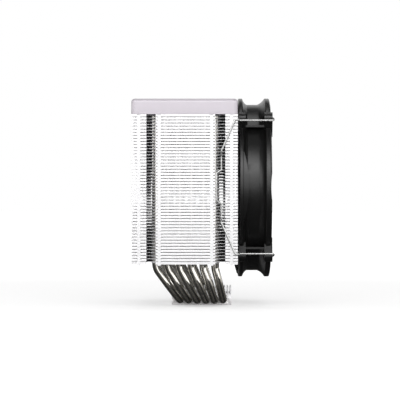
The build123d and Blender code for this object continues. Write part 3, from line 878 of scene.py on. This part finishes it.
class COOLER_OT_fins(bpy.types.Operator):
    """Builds one pressed fin and stacks it up the pipes"""

    bl_idname = "cooler.fins"
    bl_label = "Fins"

    def execute(self, context):
        settings = context.scene.cooler_fins
        low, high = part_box("fins")
        seed = self.one_fin(settings, low, high)

        def thicken(blank):
            wall = blank.modifiers.new("wall", "SOLIDIFY")
            wall.thickness = settings.thickness
            wall.offset = -1

        values = {
            "Count": settings.count,
            "Pitch": settings.pitch,
            "Material": sheet_aluminium(tuple(settings.colour)),
        }
        mesh = grow("fin_stack", seed, stack_tree(), values, before=thicken)
        shade_mesh(mesh, crease_deg=40)
        add_piece("fin_stack", mesh, "cooler", ["fins"])
        return {"FINISHED"}

    def one_fin(self, settings, low, high):
        """The lowest fin as a skin of its upper and outer faces, with its walls and collars."""
        top = high.z - (settings.count - 1) * settings.pitch
        if abs(top - low.z - settings.pitch) > settings.pitch:
            raise ValueError("the number of fins and their pitch don't fill the stack")
        work = bmesh.new()
        outline = []
        walls = self.side_walls(settings, low, high)
        for side in (-1, 1):
            outline += self.one_side(work, settings, walls, side, high.y, top)
        edges = self.join_outline(work, outline)
        for name in sorted(name for name in frame["nodes"] if name.startswith("heat_pipe")):
            for side in (-1, 1):
                edges += self.collar(work, settings, name, side, top)
        bmesh.ops.triangle_fill(work, edges=edges, use_beauty=True, normal=(0, 0, 1))
        bmesh.ops.remove_doubles(work, verts=work.verts, dist=WELD)
        bmesh.ops.recalc_face_normals(work, faces=work.faces)
        if sum(face.normal.z * face.calc_area() for face in work.faces) < 0:
            bmesh.ops.reverse_faces(work, faces=work.faces)
        return plain_mesh("one_fin", work)

    def side_walls(self, settings, low, high):
        """Start and end of each stretch of folded wall, between the slots."""
        rear = low.x + settings.rear_slot
        front = high.x - settings.front_slot
        return [
            (low.x, rear),
            (rear + settings.rear_slot_width, front - settings.front_slot_width),
            (front, high.x),
        ]

    def one_side(self, work, settings, walls, side, half_width, top):
        """Folds the walls of one side down, and returns the corners of the sheet along that side."""
        radius = settings.bend
        bottom = top - settings.pitch + settings.gap
        notch_bottom = top + settings.gap - settings.tongue_reach - settings.notch_clearance
        fold = [
            (half_width - radius + radius * sin(turn), top - radius + radius * cos(turn))
            for turn in FOLD_TURNS
        ]
        wall = [(half_width, notch_bottom), (half_width, bottom)]
        rows = fold + wall + [(half_width, bottom - settings.tongue_reach)]
        outline = []
        for start, end in walls:
            columns, tongues, notches = self.wall_columns(settings, start, end)
            grid = [[work.verts.new((x, side * y, z)) for y, z in rows] for x in columns]
            self.fold_wall(work, grid, tongues, notches, len(fold), len(fold + wall) - 1)
            outline += self.sheet_corners(settings, columns, notches, half_width)
        placed = [(x, side * y, top) for x, y in outline[1:-1]]
        return placed if side < 0 else placed[::-1]

    def fold_wall(self, work, grid, tongues, notches, notch_rows, wall_rows):
        """Faces one stretch of wall, apart from its notches and what lies between its tongues."""
        used = set()
        for column in range(len(grid) - 1):
            here, there = grid[column], grid[column + 1]
            for row in range(len(here) - 1):
                in_notch = column in notches and row < notch_rows
                below_wall = column not in tongues and row >= wall_rows
                if in_notch or below_wall:
                    continue
                corners = [here[row], there[row], there[row + 1], here[row + 1]]
                work.faces.new(corners)
                used.update(corners)
        for line in grid:
            for corner in line:
                if corner not in used:
                    work.verts.remove(corner)

    def sheet_corners(self, settings, columns, notches, half_width):
        """The sheet's corners along one stretch of wall, in and out again at each notch's divisions."""
        edge = half_width - settings.bend
        inset = edge - settings.notch_clearance - settings.thickness
        slot_floor = half_width - settings.slot_depth
        corners = [(columns[0], slot_floor)]
        for number, x in enumerate(columns):
            if number in notches:
                corners += [(x, edge), (x, inset)]
            elif number - 1 in notches:
                corners += [(x, inset), (x, edge)]
            else:
                corners.append((x, edge))
        return corners + [(columns[-1], slot_floor)]

    def wall_columns(self, settings, start, end):
        """Where a wall is divided along its length, and which divisions are tongues or notches."""
        shortest_with_two = 5 * settings.tongue_width
        half = settings.tongue_width / 2
        room = half + settings.notch_clearance
        span = end - start
        centres = [start + settings.tongue_inset + half, end - settings.tongue_inset - half]
        if span < shortest_with_two:
            centres = [start + span / 2]
        columns = [start]
        tongues, notches = set(), set()
        for centre in centres:
            first = len(columns)
            columns += [centre - room, centre - half, centre + half, centre + room]
            tongues.add(first + 1)
            notches |= {first, first + 1, first + 2}
        columns.append(end)
        return columns, tongues, notches

    def join_outline(self, work, outline):
        """Edges through the outline's points, leaving out those that repeat."""
        corners = [work.verts.new(point) for point in outline]
        kept = [corners[0]]
        for corner in corners[1:]:
            if (corner.co - kept[-1].co).length > WELD:
                kept.append(corner)
        return [work.edges.new((kept[n - 1], kept[n])) for n in range(len(kept))]

    def collar(self, work, settings, pipe, side, top):
        """Turns a collar down round a pipe, and returns the edges of its mouth in the sheet."""
        radius = pipe_radius(pipe)
        centre_x, centre_y = fin_side_x(pipe), side * (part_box(pipe)[1].y - radius)
        bend = settings.collar_bend
        bore = radius + settings.collar_clearance
        section = [
            (bore + bend, top),
            (bore + ROUND_MIDDLE * bend, top - ROUND_MIDDLE * bend),
            (bore, top - bend),
            (bore, top - settings.collar_height),
        ]
        round_pipe = full_turn(settings.collar_sides)
        rings = [
            [work.verts.new((centre_x + ring * c, centre_y + ring * s, z)) for c, s in round_pipe]
            for ring, z in section
        ]
        join_rings(work, rings)
        mouth = rings[0]
        return [work.edges.get(ends) for ends in zip(mouth, mouth[1:] + mouth[:1])]


def upright_x(pipe):
    """The lowest and highest x of a pipe where it stands in the fins, from the top of its mesh."""
    low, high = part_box(pipe)
    upper = [v.co.x for v in frame["nodes"][pipe].data.vertices if v.co.z > (low.z + high.z) / 2]
    return min(upper), max(upper)


def pipe_radius(pipe):
    """Half the width of a pipe where it stands in the fins."""
    rear, front = upright_x(pipe)
    return (front - rear) / 2


def fin_side_x(pipe):
    """Where along X a pipe stands in the fins."""
    rear, front = upright_x(pipe)
    return (rear + front) / 2


def base_side_x(pipe):
    """Where along X a pipe lies in the base, from the lowest part of its mesh."""
    lowest_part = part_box(pipe)[0].z + 2 * MM
    lying = [v.co.x for v in frame["nodes"][pipe].data.vertices if v.co.z < lowest_part]
    return (min(lying) + max(lying)) / 2


class COOLER_OT_pipes(bpy.types.Operator):
    """Bends the six heat pipes"""

    bl_idname = "cooler.pipes"
    bl_label = "Heat pipes"

    def execute(self, context):
        settings = context.scene.cooler_pipes
        material = plated_pipe(tuple(settings.colour))
        tree = tube_tree()
        for node in sorted(name for name in frame["nodes"] if name.startswith("heat_pipe")):
            name = node.replace("heat", "plated")
            radius = pipe_radius(node)
            seed = route_mesh(node, self.route(settings, node, radius))
            values = {
                "Radius": radius,
                "Sides": settings.sides,
                "Bend Steps": settings.bend_steps,
                "Material": material,
            }
            mesh = grow(name, seed, tree, values)
            shade_mesh(mesh, crease_deg=40)
            add_piece(name, mesh, "cooler", [node])
        return {"FINISHED"}

    def route(self, settings, node, radius):
        """Down one leg, through the base and up the other."""
        low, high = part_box(node)
        leg_y = high.y - radius
        fin_x, base_x = fin_side_x(node), base_side_x(node)
        shoulder_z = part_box("fins")[0].z - settings.shoulder_drop
        half = [
            (Vector((fin_x, leg_y, high.z)), 0.0),
            (Vector((fin_x, leg_y, shoulder_z)), settings.shoulder_radius),
            (Vector((base_x, leg_y, low.z + radius)), settings.bend_radius),
        ]
        return half + [(Vector((p.x, -p.y, p.z)), bend) for p, bend in reversed(half)]


class COOLER_OT_cover(bpy.types.Operator):
    """Gives the drawn cover its satin finish"""

    bl_idname = "cooler.cover"
    bl_label = "Cover"

    def execute(self, context):
        material = satin_cover(tuple(context.scene.cooler_cover.colour))
        mesh = merged_copy("top_cover", material, crease_deg=35)
        add_piece("drawn_cover", mesh, "cooler", ["top_cover"])
        return {"FINISHED"}


class COOLER_OT_base(bpy.types.Operator):
    """Eases the edges of the base plate and the ribbed block and gives them their milled finish"""

    bl_idname = "cooler.base"
    bl_label = "Base"

    def execute(self, context):
        settings = context.scene.cooler_base
        plate = milled_metal("milled_plate", tuple(settings.plate_colour), roughness=0.26)
        block = milled_metal("milled_block", tuple(settings.block_colour), roughness=0.3)
        for node, name, material, slot in (
            ("base_plate", "contact_plate", plate, "nickel"),
            ("base_block", "ribbed_block", block, "base_aluminium"),
        ):
            mesh = merged_copy(node, material, crease_deg=30, bevel=settings.edge_ease)
            add_piece(name, mesh, "cooler", [node])
        return {"FINISHED"}


class COOLER_OT_fan_frame(bpy.types.Operator):
    """Smooths the fan's frame, its rubber pads and the outlet for its lead"""

    bl_idname = "cooler.fan_frame"
    bl_label = "Fan frame"

    def execute(self, context):
        settings = context.scene.cooler_fan
        level = settings.frame_level
        plastic = moulded_plastic("frame_plastic", level, roughness=0.32, grain_depth=0.015 * MM)
        mesh = merged_copy("fan_frame", plastic, crease_deg=32)
        add_piece("moulded_frame", mesh, "cooler", ["fan_frame"])
        rubber = soft_rubber()
        for node in sorted(name for name in frame["nodes"] if name.startswith("fan_pad")):
            mesh = merged_copy(node, rubber, crease_deg=30, bevel=settings.pad_ease)
            add_piece(node.replace("fan", "rubber"), mesh, "cooler", [node])
        mesh = merged_copy("cable_gland", rubber, crease_deg=30, bevel=settings.outlet_ease)
        add_piece("lead_outlet", mesh, "cooler", ["cable_gland"])
        return {"FINISHED"}


class COOLER_OT_impeller(bpy.types.Operator):
    """Turns the impeller's hub and sets its blades round it"""

    bl_idname = "cooler.impeller"
    bl_label = "Impeller"

    def execute(self, context):
        settings = context.scene.cooler_impeller
        level = context.scene.cooler_fan.blade_level
        plastic = moulded_plastic("blade_plastic", level, roughness=0.3, grain_depth=0.008 * MM)
        hub = self.hub_mesh(settings)
        hub.materials.append(plastic)
        add_piece("impeller_hub", hub, "rotor", ["impeller"])
        values = {"Count": settings.blades, "Centre": joint_place["fan_spin"], "Material": plastic}
        blades = grow("impeller_blades", self.blade_mesh(settings), turn_tree(), values)
        shade_mesh(blades, crease_deg=50)
        add_piece("impeller_blades", blades, "rotor", ["impeller"])
        return {"FINISHED"}

    def hub_mesh(self, settings):
        """The cup that holds the rotor, with a dished front and the boss for the shaft."""
        outer, wall, edge = settings.hub_radius, settings.hub_wall, settings.hub_round
        back, front = settings.hub_back, settings.hub_front
        chamfer, dish = settings.hub_chamfer, settings.dish_depth
        dish_edge = outer - settings.dish_inset
        inside = front - wall
        boss_end = inside - settings.boss_length
        rounded = [
            (front - edge + edge * sin(turn), outer - edge + edge * cos(turn)) for turn in EDGE_TURNS
        ]
        profile = [
            (back, outer - wall),
            (back, outer - chamfer),
            (back + chamfer, outer),
            *rounded,
            (front, dish_edge),
            (front - dish, dish_edge - dish),
            (front - dish, settings.shaft_radius),
            (boss_end, settings.shaft_radius),
            (boss_end, settings.boss_radius),
            (inside, settings.boss_radius),
            (inside, outer - wall),
        ]
        hub = plain_mesh("impeller_hub", lathe(profile, joint_place["fan_spin"]))
        shade_mesh(hub, crease_deg=25)
        return hub

    def blade_mesh(self, settings):
        """One blade about the hub's centre, from just inside the hub to its tip."""
        stations, points = 15, 14
        root = settings.hub_radius - settings.root_overlap
        work = bmesh.new()
        loops = []
        for station in range(stations):
            share = station / (stations - 1)
            radius, chord, pitch, thickness = (
                at_root + share * (at_tip - at_root)
                for at_root, at_tip in (
                    (root, settings.tip_radius),
                    (settings.root_chord, settings.tip_chord),
                    (settings.root_pitch, settings.tip_pitch),
                    (settings.root_thickness, settings.tip_thickness),
                )
            )
            lean = settings.sweep * share**2
            loop = []
            for number in range(2 * points):
                turn = pi * number / points
                along = -cos(turn) * chord / 2
                crown = settings.camber * chord * (1 - (2 * along / chord) ** 2)
                half = abs(sin(turn)) ** settings.bluntness * thickness / 2
                height = crown + (half if number < points else -half)
                axial = settings.middle + along * sin(pitch) + height * cos(pitch)
                angle = lean + (along * cos(pitch) - height * sin(pitch)) / radius
                loop.append(work.verts.new((axial, radius * cos(angle), radius * sin(angle))))
            loops.append(loop)
        join_rings(work, loops)
        for loop in (loops[0], loops[-1]):
            self.close_end(work, loop, points)
        bmesh.ops.recalc_face_normals(work, faces=work.faces)
        return plain_mesh("one_blade", work)

    def close_end(self, work, loop, points):
        """Closes a blade's end with faces across it and a triangle at each edge."""
        work.faces.new((loop[0], loop[1], loop[-1]))
        for number in range(1, points - 1):
            work.faces.new((loop[number], loop[number + 1], loop[-number - 1], loop[-number]))
        work.faces.new((loop[points - 1], loop[points], loop[points + 1]))


class COOLER_OT_motor(bpy.types.Operator):
    """Finishes the parts of the motor inside the hub"""

    bl_idname = "cooler.motor"
    bl_label = "Motor"

    def execute(self, context):
        copper = turned_metal("copper_wire", COPPER, 0.3, rings_per_metre=3500)
        bronze = turned_metal("oiled_bronze", BRONZE, 0.42)
        laminations = turned_metal("stamped_laminations", LAMINATION_STEEL, 0.38, rings_per_metre=3000)
        yoke = turned_metal("pressed_steel", YOKE_STEEL, 0.34)
        shaft = turned_metal("ground_shaft", SHAFT_STEEL, 0.16, rings_per_metre=5000)
        retainer = turned_metal("retainer_steel", RETAINER_STEEL, 0.3)
        finishes = {
            "motor_label": (label_film(), "label"),
            "motor_board": (circuit_lacquer(), "circuit_board"),
            "thrust_washer": (natural_nylon(), "washer_plastic"),
            "bearing_sleeve": (bronze, "bronze"),
            "stator_core": (laminations, "lamination"),
            "rotor_yoke": (yoke, "yoke_steel"),
            "magnet_ring": (sintered_ferrite(), "magnet"),
            "fan_shaft": (shaft, "shaft_steel"),
            "shaft_retainer": (retainer, "shaft_steel"),
        }
        for node in frame["nodes"]:
            if node.startswith("stator_coil"):
                finishes[node] = (copper, "copper_wire")
        for node, (material, slot) in finishes.items():
            body = frame["nodes"][node]["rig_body"]
            mesh = merged_copy(node, material, crease_deg=30)
            add_piece(node + "_finished", mesh, body, [node])
        return {"FINISHED"}


class COOLER_OT_clips(bpy.types.Operator):
    """Bends the two wire clips"""

    bl_idname = "cooler.clips"
    bl_label = "Wire clips"

    def execute(self, context):
        settings = context.scene.cooler_clips
        material = drawn_wire(tuple(settings.colour))
        tree = tube_tree()
        for side, end in ((-1, "near"), (1, "far")):
            name = f"wire_clip_{end}"
            seed = route_mesh(f"clip_{end}", self.route(settings, end, side))
            values = {
                "Radius": settings.wire_radius,
                "Sides": settings.sides,
                "Bend Steps": settings.bend_steps,
                "Material": material,
            }
            mesh = grow(name, seed, tree, values)
            shade_mesh(mesh, crease_deg=50)
            add_piece(name, mesh, f"{end}_clip", [f"clip_{end}"])
        return {"FINISHED"}

    def route(self, settings, end, side):
        """From the upper hook back along the fan, down the slot and forward to the lower hook."""
        hook = joint_place[f"clip_{end}_swing"]
        centre_z = joint_place["fan_spin"].z
        fan_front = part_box("fan_frame")[1].x
        fins_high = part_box("fins")[1]
        ear = abs(hook.y)
        side_y = ear + settings.side_out
        run = ear - settings.side_drop
        leg_x = fins_high.x + settings.leg_gap
        wall_y = fins_high.y + settings.wall_out
        slot_y = wall_y - settings.dip
        seat_x = self.seat_x(settings, end)
        half = [
            (fan_front - settings.hook_depth, ear, ear),
            (hook.x, ear, ear),
            (hook.x, side_y, run),
            (leg_x, side_y, run),
            (leg_x, wall_y, run),
            (fins_high.x - settings.heel, wall_y, run),
            (seat_x, wall_y, settings.slant_end),
            (seat_x, slot_y, settings.dip_end),
            (seat_x, slot_y, settings.grip_half_height + settings.grip_step),
            (seat_x - settings.grip_offset, slot_y + settings.grip_rise, settings.grip_half_height),
        ]
        points = half + [(x, y, -z) for x, y, z in reversed(half)]
        return [(Vector((x, side * y, centre_z + z)), settings.bend_radius) for x, y, z in points]

    def seat_x(self, settings, end):
        """Where the wire stands in its slot, from the rear edge of the CAD clip, which is its grip."""
        low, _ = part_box(f"clip_{end}")
        return low.x + settings.wire_radius + settings.grip_offset


# ---- add-on ----
class COOLER_PT_panel(bpy.types.Panel):
    """The cooler's settings and the buttons that build it"""

    bl_label = "Tower cooler"
    bl_idname = "COOLER_PT_panel"
    bl_space_type = "VIEW_3D"
    bl_region_type = "UI"
    bl_category = "Cooler"

    def draw(self, context):
        for name, operators in GROUPS.items():
            box = self.layout.box()
            settings = getattr(context.scene, name)
            for field in settings.__annotations__:
                box.prop(settings, field)
            for operator in operators:
                box.operator(operator.bl_idname)


SETTINGS = {
    "cooler_stage": CoolerStageSettings,
    "cooler_fins": CoolerFinSettings,
    "cooler_cover": CoolerCoverSettings,
    "cooler_pipes": CoolerPipeSettings,
    "cooler_base": CoolerBaseSettings,
    "cooler_fan": CoolerFanSettings,
    "cooler_impeller": CoolerImpellerSettings,
    "cooler_clips": CoolerClipSettings,
}
GROUPS = {
    "cooler_stage": [COOLER_OT_stage],
    "cooler_fins": [COOLER_OT_fins],
    "cooler_cover": [COOLER_OT_cover],
    "cooler_pipes": [COOLER_OT_pipes],
    "cooler_base": [COOLER_OT_base],
    "cooler_fan": [COOLER_OT_fan_frame, COOLER_OT_motor],
    "cooler_impeller": [COOLER_OT_impeller],
    "cooler_clips": [COOLER_OT_clips],
}
OPERATORS = [operator for operators in GROUPS.values() for operator in operators]


def register():
    for settings in SETTINGS.values():
        bpy.utils.register_class(settings)
    for name, settings in SETTINGS.items():
        setattr(bpy.types.Scene, name, bpy.props.PointerProperty(type=settings))
    for kind in [*OPERATORS, COOLER_PT_panel]:
        bpy.utils.register_class(kind)


def unregister():
    for kind in [COOLER_PT_panel, *reversed(OPERATORS)]:
        bpy.utils.unregister_class(kind)
    for name in SETTINGS:
        delattr(bpy.types.Scene, name)
    for settings in reversed(SETTINGS.values()):
        bpy.utils.unregister_class(settings)


def main():
    register()
    for operator in OPERATORS:
        category, name = operator.bl_idname.split(".")
        getattr(getattr(bpy.ops, category), name)()


if __name__ == "__main__":
    main()
